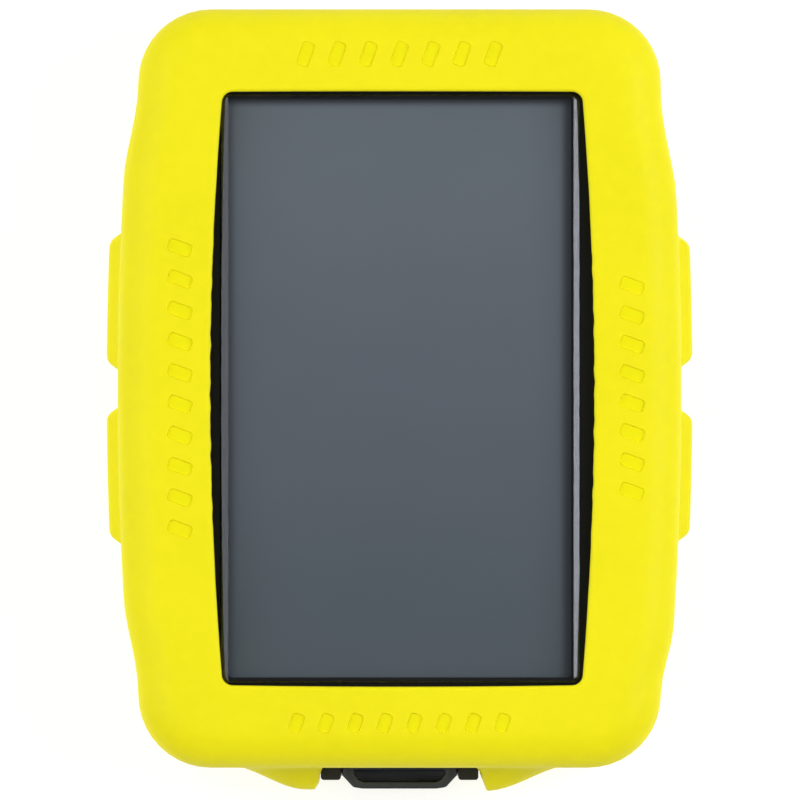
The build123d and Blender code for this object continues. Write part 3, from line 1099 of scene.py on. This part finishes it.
    @staticmethod
    def between(first: Ring, last: Ring, shares: Sequence[float]) -> list[Ring]:
        """Rings that go from one ring to another by shares."""
        return [lambda station, s=share: first(station).lerp(last(station), s) for share in shares]

    def outer_rings(self) -> list[Ring]:
        """The rings of the outside.

        Returns:
            The rings, from the window's lip to the mount hole.
        """
        top, back = self.front, self.back
        rings = [self.rim(0, top - self.lip_band)]
        rings += [self.rim(out, top - down) for out, down in rounding(self.lip_round, 0, 30, 60, 90)]
        lip = self.rim(self.lip_band, top)
        edge = self.outer(self.front_round[0] + self.front_flat, top)
        rings += [lip] + self.between(lip, edge, (0.33, 0.66)) + [edge]
        steps = rounding(self.front_round, *range(90, -1, -9))
        rings += [self.outer(inset, top - down) for inset, down in steps]
        rings += [self.outer(0, z * MM) for z in self.outer_heights]
        # One step of each back rounding lies at the port's lower edge.
        steps = rounding(self.back_round, 15, 32.92, 45, 58, 74, 90)
        rings += [self.outer(inset, back + up) for inset, up in steps]
        flat = self.outer(self.back_round[0] + self.back_flat, back)
        near = self.hole(self.mount_hole + 2 * self.mount_round[0], back)
        rings += [flat] + self.between(flat, near, (0.3, 0.65)) + [near]
        steps = rounding(self.mount_round, 0, 45, 90)
        return rings + [self.hole(self.mount_hole + out, back + up) for up, out in steps]

    def inner_rings(self) -> list[Ring]:
        """The rings of the inside.

        Returns:
            The rings, from the mount hole back to the window's lip.
        """
        low, high = self.back + self.wall, self.front - self.wall
        near, flat = self.hole(self.mount_hole, low), self.inner(self.inner_back_round[0], low)
        rings = [near] + self.between(near, flat, (0.4, 0.8))
        steps = rounding(self.inner_back_round, 90, 72, 54.5, 27)
        rings += [self.inner(inset, low + up) for inset, up in steps]
        rings += [self.inner(0, z * MM) for z in self.inner_heights]
        rings += [self.inner(inset, high - down) for inset, down in rounding(self.inner_front_round, 0, 45, 90)]
        return rings + self.between(rings[-1], self.rim(0, high), (0.5, 1.0))

    def cut_port(self, skin: bpy.types.Object) -> None:
        """Opens the port through both skins and walls its edge.

        Args:
            skin: the sleeve's skin.
        """
        low, high = self.port_heights

        def in_port(face: bmesh.types.BMFace) -> bool:
            """Whether a face lies in the port's cut-out, in the bottom end's walls."""
            x, y, z = face.calc_center_median()
            return abs(x) < self.port_half and y < -self.case.straight[1] and low < z < high

        with Bench.editing(skin):
            Bench.pick(skin, "faces", in_port)
            bpy.ops.mesh.delete(type="FACE")
            bpy.ops.mesh.select_mode(type="EDGE")
            Bench.pick(skin, "edges", lambda edge: len(edge.link_faces) == 1)
            bpy.ops.mesh.bridge_edge_loops()

    def sink_pockets(self, skin: bpy.types.Object) -> None:
        """Thins the wall behind each key pad, so that the pad can give.

        Args:
            skin: the sleeve's skin.
        """
        for side in (-1, 1):
            for end in (-1, 1):
                def behind_pad(face: bmesh.types.BMFace) -> bool:
                    """Whether a face of the inner skin lies behind this pad."""
                    x, y, z = face.calc_center_median()
                    limits = ((side * x, self.pocket_x), (end * y, self.pocket_y), (z, self.pocket_z))
                    return all(low < value < high for value, (low, high) in limits)

                with Bench.editing(skin):
                    Bench.pick(skin, "faces", behind_pad)
                    bpy.ops.mesh.extrude_region_move(
                        TRANSFORM_OT_translate={"value": (side * self.pocket_depth, 0, 0)})

    def dash(self, length: float, turned: bool) -> bpy.types.Object:
        """One tapered cutter for a dash, with rounded corners, at the middle of the unit.

        Args:
            length: the dash's length.
            turned: whether it stands in a row along the unit.

        Returns:
            The cutter.
        """
        reach = Vector((self.mark_half_width, length / 2, self.mark_depth))
        middle = Vector((0, 0, self.front))
        dash = Bench.box(middle - reach, middle + reach)
        with Bench.editing(dash, "EDGE"):
            Bench.pick(dash, "edges", lambda edge: edge.verts[0].co.xy == edge.verts[1].co.xy)
            bpy.ops.mesh.bevel(offset=self.mark_corner, segments=4)
            bpy.ops.mesh.select_mode(type="FACE")
            Bench.pick(dash, "faces", lambda face: face.normal.z > 0.9)
            bpy.ops.transform.resize(value=(*self.mark_flare, 1))
        dash.rotation_euler.z = math.radians(self.mark_lean + (90 if turned else 0))
        return dash

    def mark_cutter(self) -> bpy.types.Object:
        """Every dash of every row.

        Returns:
            Their cutters, joined in one object.
        """
        dashes = []
        for row in self.marks:
            for place in row.places():
                dashes.append(self.dash(row.length, row.turned))
                dashes[-1].location = place
        Bench.hold(dashes[0])
        for dash in dashes:
            dash.select_set(True)
        bpy.ops.object.join()
        bpy.ops.object.transform_apply(location=True, rotation=True, scale=True)
        return dashes[0]

    def build(self) -> bpy.types.Object:
        """Models the sleeve and puts it in place of its CAD solid.

        Returns:
            The finished piece.
        """
        stations = self.stations()
        rings = self.outer_rings() + self.inner_rings()
        skin = Loft.through([[ring(station) for station in stations] for ring in rings])
        self.cut_port(skin)
        self.sink_pockets(skin)
        Bench.modify(skin, "BEVEL", width=self.edge_ease, segments=2, limit_method="ANGLE",
                     angle_limit=math.radians(55))
        Bench.combine(skin, self.mark_cutter(), "DIFFERENCE")
        with Bench.editing(skin):
            bpy.ops.mesh.select_all(action="SELECT")
            bpy.ops.mesh.normals_make_consistent(inside=False)
        Bench.settle(skin, "sleeve_skin", 40)
        floor = self.front - self.mark_depth
        self.mark_faces = [face.index for face in skin.data.polygons
                           if face.normal.z > 0.99 and abs(face.center.z - floor) < FLUSH]
        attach(skin, "unit")
        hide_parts("silicone_sleeve")
        return skin


@dataclass
class KeyPad:
    """One raised pad on the sleeve's side."""

    name: str
    case: CaseOutline
    root_depth: float = 0.3 * MM
    proud: float = 1.25 * MM
    flare: float = 0.85 * MM
    root_share: float = 0.35
    root_band: float = 0.2 * MM
    edge: float = 0.62 * MM
    left_extra: float = 0.3 * MM
    slices: int = 12
    stretch: Point = (-0.1 * MM, 0.95 * MM)

    def build(self) -> bpy.types.Object:
        """Models the pad and puts it in place of its CAD solid.

        Returns:
            The finished piece.
        """
        node = f"key_pad_{self.name}"
        low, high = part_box(node)
        side = 1 if low.x > 0 else -1
        root, face = self.case.half_width - self.root_depth, self.case.half_width + self.proud
        near, far = sorted((side * root, side * face))
        grow = Vector((0, 1, 1)) * self.flare * self.root_share
        if side < 0:
            grow.y += self.left_extra
        size = high - low + 2 * grow
        pad = Bench.box(Vector((near, low.y, low.z)) - grow, Vector((far, high.y, high.z)) + grow)
        shrink = [1 - 2 * self.flare * (1 + self.root_share) / length for length in (size.y, size.z)]
        with Bench.editing(pad):
            Bench.pick(pad, "faces", lambda f: side * f.normal.x > 0.9)
            bpy.ops.transform.resize(value=(1, *shrink))
            bpy.ops.mesh.select_mode(type="EDGE")
            Bench.pick(pad, "edges", lambda e: max(side * v.co.x for v in e.verts) > root + self.root_band)
            bpy.ops.mesh.bevel(offset=self.edge, segments=6)
            for step in range(1, self.slices):
                y = low.y + (high.y - low.y) * step / self.slices
                bpy.ops.mesh.select_all(action="SELECT")
                bpy.ops.mesh.bisect(plane_co=(0, y, 0), plane_no=(0, 1, 0))
        for vertex in pad.data.vertices:
            vertex.co.x -= side * self.case.sag(side, vertex.co.y)
        Bench.settle(pad, f"sleeve_pad_{self.name}", 40)
        middle = (low + high) / 2
        surface = self.case.half_width - self.case.sag(side, middle.y)
        start, end = [(side * (surface + out), middle.y, middle.z) for out in self.stretch]
        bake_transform(pad)
        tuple(start)
        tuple(end)
        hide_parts(node)
        return pad


@dataclass
class CoverLens:
    """The raised cover lens, whose front rim rolls over to a shallow slope."""

    corner: float = 0.95 * MM
    least_corner: float = 0.05 * MM
    roll: float = 2.1 * MM
    slope: float = 30.0
    ease: Point = (0.02 * MM, 0.05 * MM)
    end_share: float = 0.2
    shift: float = 0.08 * MM
    corner_steps: int = 8
    roll_steps: int = 8

    def ring(self, half: Point, inset: float, z: float) -> list[Vector]:
        """A rounded rectangle inside the lens's edge.

        Args:
            half: half the lens's size, along X and along Y.
            inset: how far inside the long sides. The ends take a share of it.
            z: the height.

        Returns:
            The ring's points.
        """
        radius = max(self.corner - inset, self.least_corner)
        straight = (half[0] - inset - radius, half[1] - inset * self.end_share - radius)
        points = []
        for index, (x, y) in enumerate(((1, 1), (-1, 1), (-1, -1), (1, -1))):
            centre = (x * straight[0] + self.shift, y * straight[1])
            points += arc(centre, radius, index * math.pi / 2, math.pi / 2, self.corner_steps, z)
        return points

    def build(self) -> bpy.types.Object:
        """Models the lens and puts it in place of its CAD solid.

        Returns:
            The finished piece.
        """
        low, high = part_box("screen_lens")
        half = ((high.x - low.x) / 2, (high.y - low.y) / 2)
        last = math.radians(self.slope)
        inwards, downwards = self.ease
        reach, drop = self.roll * math.sin(last), self.roll * (1 - math.cos(last))
        rings = [self.ring(half, 0, low.z), self.ring(half, 0, high.z - drop - downwards)]
        for step in range(self.roll_steps + 1):
            angle = last * (1 - step / self.roll_steps)
            inset = reach - self.roll * math.sin(angle) + inwards
            rings.append(self.ring(half, inset, high.z - self.roll * (1 - math.cos(angle))))
        lens = Loft.through(rings, capped=True)
        Bench.settle(lens, "cover_lens", 30)
        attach(lens, "unit")
        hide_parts("screen_lens")
        return lens


Corner = tuple[float, float, float]


@dataclass(frozen=True)
class PortFlap:
    """The port's flap: a soft plate with a scooped finger lip, above a barrel that turns on the pin.

    Its sizes are in mm. Each outline holds the corners of its right half, back to front, as x, y and the
    corner's radius. Levels are heights with the outline's inset there, and the barrel's ends are places
    across the unit with its radius there.
    """

    rim: tuple[Corner, ...] = ((6.25, -41.0, 0.2), (6.25, -42.2, 0.5), (5.05, -43.5, 0.7), (4.0, -43.65, 1.0))
    rim_levels: tuple[Point, ...] = (
        (8.4, 0.15), (8.44, 0.05), (8.55, 0.0), (15.22, 0.0), (15.34, 0.05), (15.4, 0.17))
    scoop: tuple[Corner, ...] = ((5.0, -41.6, 0.2), (5.0, -42.0, 0.2), (4.5, -42.7, 0.35), (3.9, -42.93, 0.6))
    scoop_levels: tuple[Point, ...] = (
        (15.4, -0.1), (15.36, -0.03), (15.28, 0.0), (12.0, 0.0), (11.86, 0.05), (11.8, 0.17))
    barrel: tuple[Point, ...] = ((-5.9, 0.65), (-5.66, 0.88), (5.66, 0.88), (5.9, 0.65))
    hinge: Point = (-41.9, 6.5)
    barrel_top: float = 8.8
    bore: float = 0.5
    bore_length: float = 16.0
    corner_steps: int = 5
    barrel_steps: int = 20
    bore_steps: int = 40

    def outline(self, half: Sequence[Corner], z: float, inset: float) -> list[Vector]:
        """An outline with its corners rounded.

        Args:
            half: the corners of its right half.
            z: the height.
            inset: how far inside the outline.

        Returns:
            The ring's points.
        """
        path = list(half) + [(-x, y, radius) for x, y, radius in reversed(half)]
        points = []
        for index, (x, y, radius) in enumerate(path):
            here = Vector((x, y))
            before = (here - Vector(path[index - 1][:2])).normalized()
            after = (Vector(path[(index + 1) % len(path)][:2]) - here).normalized()
            turn = math.acos(before.dot(after))
            inward = Vector((before.y, -before.x))
            centre = here - before * radius * math.tan(turn / 2) + inward * radius
            start = math.atan2(-inward.y, -inward.x)
            points += arc(centre, radius - inset, start, -turn, self.corner_steps, z)
        return [point * MM for point in points]

    def section(self, x: float, radius: float) -> list[Vector]:
        """The barrel's section: straight at the top, round below the pin.

        Args:
            x: the place across the unit.
            radius: the barrel's radius there.

        Returns:
            The ring's points.
        """
        y, z = self.hinge
        points = [Vector((x, y + radius, self.barrel_top)) * MM]
        for step in range(self.barrel_steps + 1):
            angle = -math.pi * step / self.barrel_steps
            points.append(Vector((x, y + radius * math.cos(angle), z + radius * math.sin(angle))) * MM)
        return points + [Vector((x, y - radius, self.barrel_top)) * MM]

    def build(self) -> bpy.types.Object:
        """Models the flap and puts it in place of its CAD solid.

        Returns:
            The finished piece.
        """
        rings = [self.outline(self.rim, *level) for level in self.rim_levels]
        rings += [self.outline(self.scoop, *level) for level in self.scoop_levels]
        plate = Loft.through(rings, capped=True)
        barrel = Loft.through([self.section(*end) for end in self.barrel], capped=True)
        Bench.combine(plate, barrel, "UNION")
        Bench.clear()
        bpy.ops.mesh.primitive_cylinder_add(
            vertices=self.bore_steps, radius=self.bore * MM, depth=self.bore_length * MM,
            location=Vector((0, *self.hinge)) * MM, rotation=(0, math.pi / 2, 0))
        Bench.combine(plate, bpy.context.object, "DIFFERENCE")
        Bench.settle(plate, "port_flap_shell", 35)
        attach(plate, "port_flap")
        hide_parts("port_door")
        return plate


# ---------------------------------------------------------------- studio


@dataclass(frozen=True)
class SoftBox:
    """A rectangular white area light: where it stands, its size, its power in watts and where it points."""

    name: str
    place: tuple[float, float, float]
    size: Point
    power: float
    target: tuple[float, float, float] = (0, 0, 15 * MM)

    def build(self) -> None:
        """Adds the light, turned to face the unit."""
        data = bpy.data.lights.new(self.name, "AREA")
        data.shape = "RECTANGLE"
        data.size, data.size_y = self.size
        data.energy = self.power
        lamp = bpy.data.objects.new(self.name, data)
        lamp.location = self.place
        towards = Vector(self.target) - Vector(self.place)
        lamp.rotation_euler = towards.to_track_quat("-Z", "Y").to_euler()
        bpy.context.scene.collection.objects.link(lamp)


@dataclass
class Studio:
    """A light table, soft boxes and a long lens straight above the screen."""

    field_of_view: float = 87.04 * MM
    aim: Point = (0.05 * MM, -1.25 * MM)
    lens: float = 1650.0
    sensor: float = 36.0
    clip: Point = (0.05, 20.0)
    air: float = 0.2
    table_size: float = 8.0
    table_grey: float = 0.35
    table_glow: float = 0.78
    boxes: tuple[SoftBox, ...] = (
        SoftBox("left_box", (-0.47, 0.06, 0.47), (0.52, 0.70), 3.0),
        SoftBox("right_box", (0.47, 0.06, 0.47), (0.26, 0.46), 2.9),
        SoftBox("top_box", (0.0, 0.80, 0.26), (0.9, 0.35), 0.7),
        SoftBox("low_box", (0.0, -0.80, 0.26), (0.9, 0.35), 0.6),
    )

    def floor(self) -> None:
        """A large white sheet, lit a little from below, that the unit lies on."""
        Bench.clear()
        bpy.ops.mesh.primitive_plane_add(size=self.table_size, location=(0, 0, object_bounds()[0].z))
        sheet = bpy.context.object
        sheet.name = "light_table"
        recipe = Recipe("light_table")
        recipe.set(Base_Color=(self.table_grey,) * 3, Roughness=0.9, Specular_IOR_Level=0.1)
        recipe.set(Emission_Color=(1.0, 1.0, 1.0), Emission_Strength=self.table_glow)
        sheet.data.materials.append(recipe.material)
        sheet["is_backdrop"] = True

    def build(self) -> None:
        """Sets table, world, lights and camera."""
        self.floor()
        scene = bpy.context.scene
        scene.view_settings.view_transform = "Standard"
        world = bpy.data.worlds.new("studio_air")
        world.use_nodes = True
        background = world.node_tree.nodes["Background"]
        background.inputs["Color"].default_value = (1, 1, 1, 1)
        background.inputs["Strength"].default_value = self.air
        scene.world = world
        for box in self.boxes:
            box.build()
        data = bpy.data.cameras.new("camera")
        data.lens, data.sensor_width = self.lens, self.sensor
        data.clip_start, data.clip_end = self.clip
        camera = bpy.data.objects.new("camera", data)
        distance = self.field_of_view * self.lens / self.sensor
        camera.location = (*self.aim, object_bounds()[1].z + distance)
        scene.collection.objects.link(camera)
        scene.camera = camera


# ---------------------------------------------------------------- assembly


@dataclass
class GpsUnit:
    """The whole unit: the soft pieces modelled here and the finishes of every piece."""

    materials: dict[str, bpy.types.Material] = field(default_factory=dict)
    pads: tuple[str, ...] = ("left_upper", "left_lower", "right_upper", "right_lower")

    def dress(self, piece: bpy.types.Object, slot: str) -> None:
        """Gives a piece one finish all over."""
        piece.data.materials.clear()
        piece.data.materials.append(self.materials[slot])

    def build(self) -> None:
        """Models the soft pieces and dresses every node."""
        self.materials = {slot: finish.make() for slot, finish in finishes().items()}
        for part in frame["record"]["subparts"]:
            self.dress(frame["nodes"][part["node"]], part["material_slot"])
        sleeve = Sleeve()
        skin = sleeve.build()
        self.dress(skin, Slot.SLEEVE.value)
        skin.data.materials.append(self.materials["sleeve_mark"])
        for index in sleeve.mark_faces:
            skin.data.polygons[index].material_index = 1
        for name in self.pads:
            self.dress(KeyPad(name, sleeve.case).build(), Slot.SLEEVE.value)
        self.dress(CoverLens().build(), Slot.LENS.value)
        self.dress(PortFlap().build(), Slot.DOOR.value)


def main() -> None:
    """Builds the unit and its studio."""
    logging.basicConfig(level=logging.INFO, format="%(message)s")
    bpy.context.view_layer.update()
    GpsUnit().build()
    Studio().build()


if __name__ == "__main__":
    main()
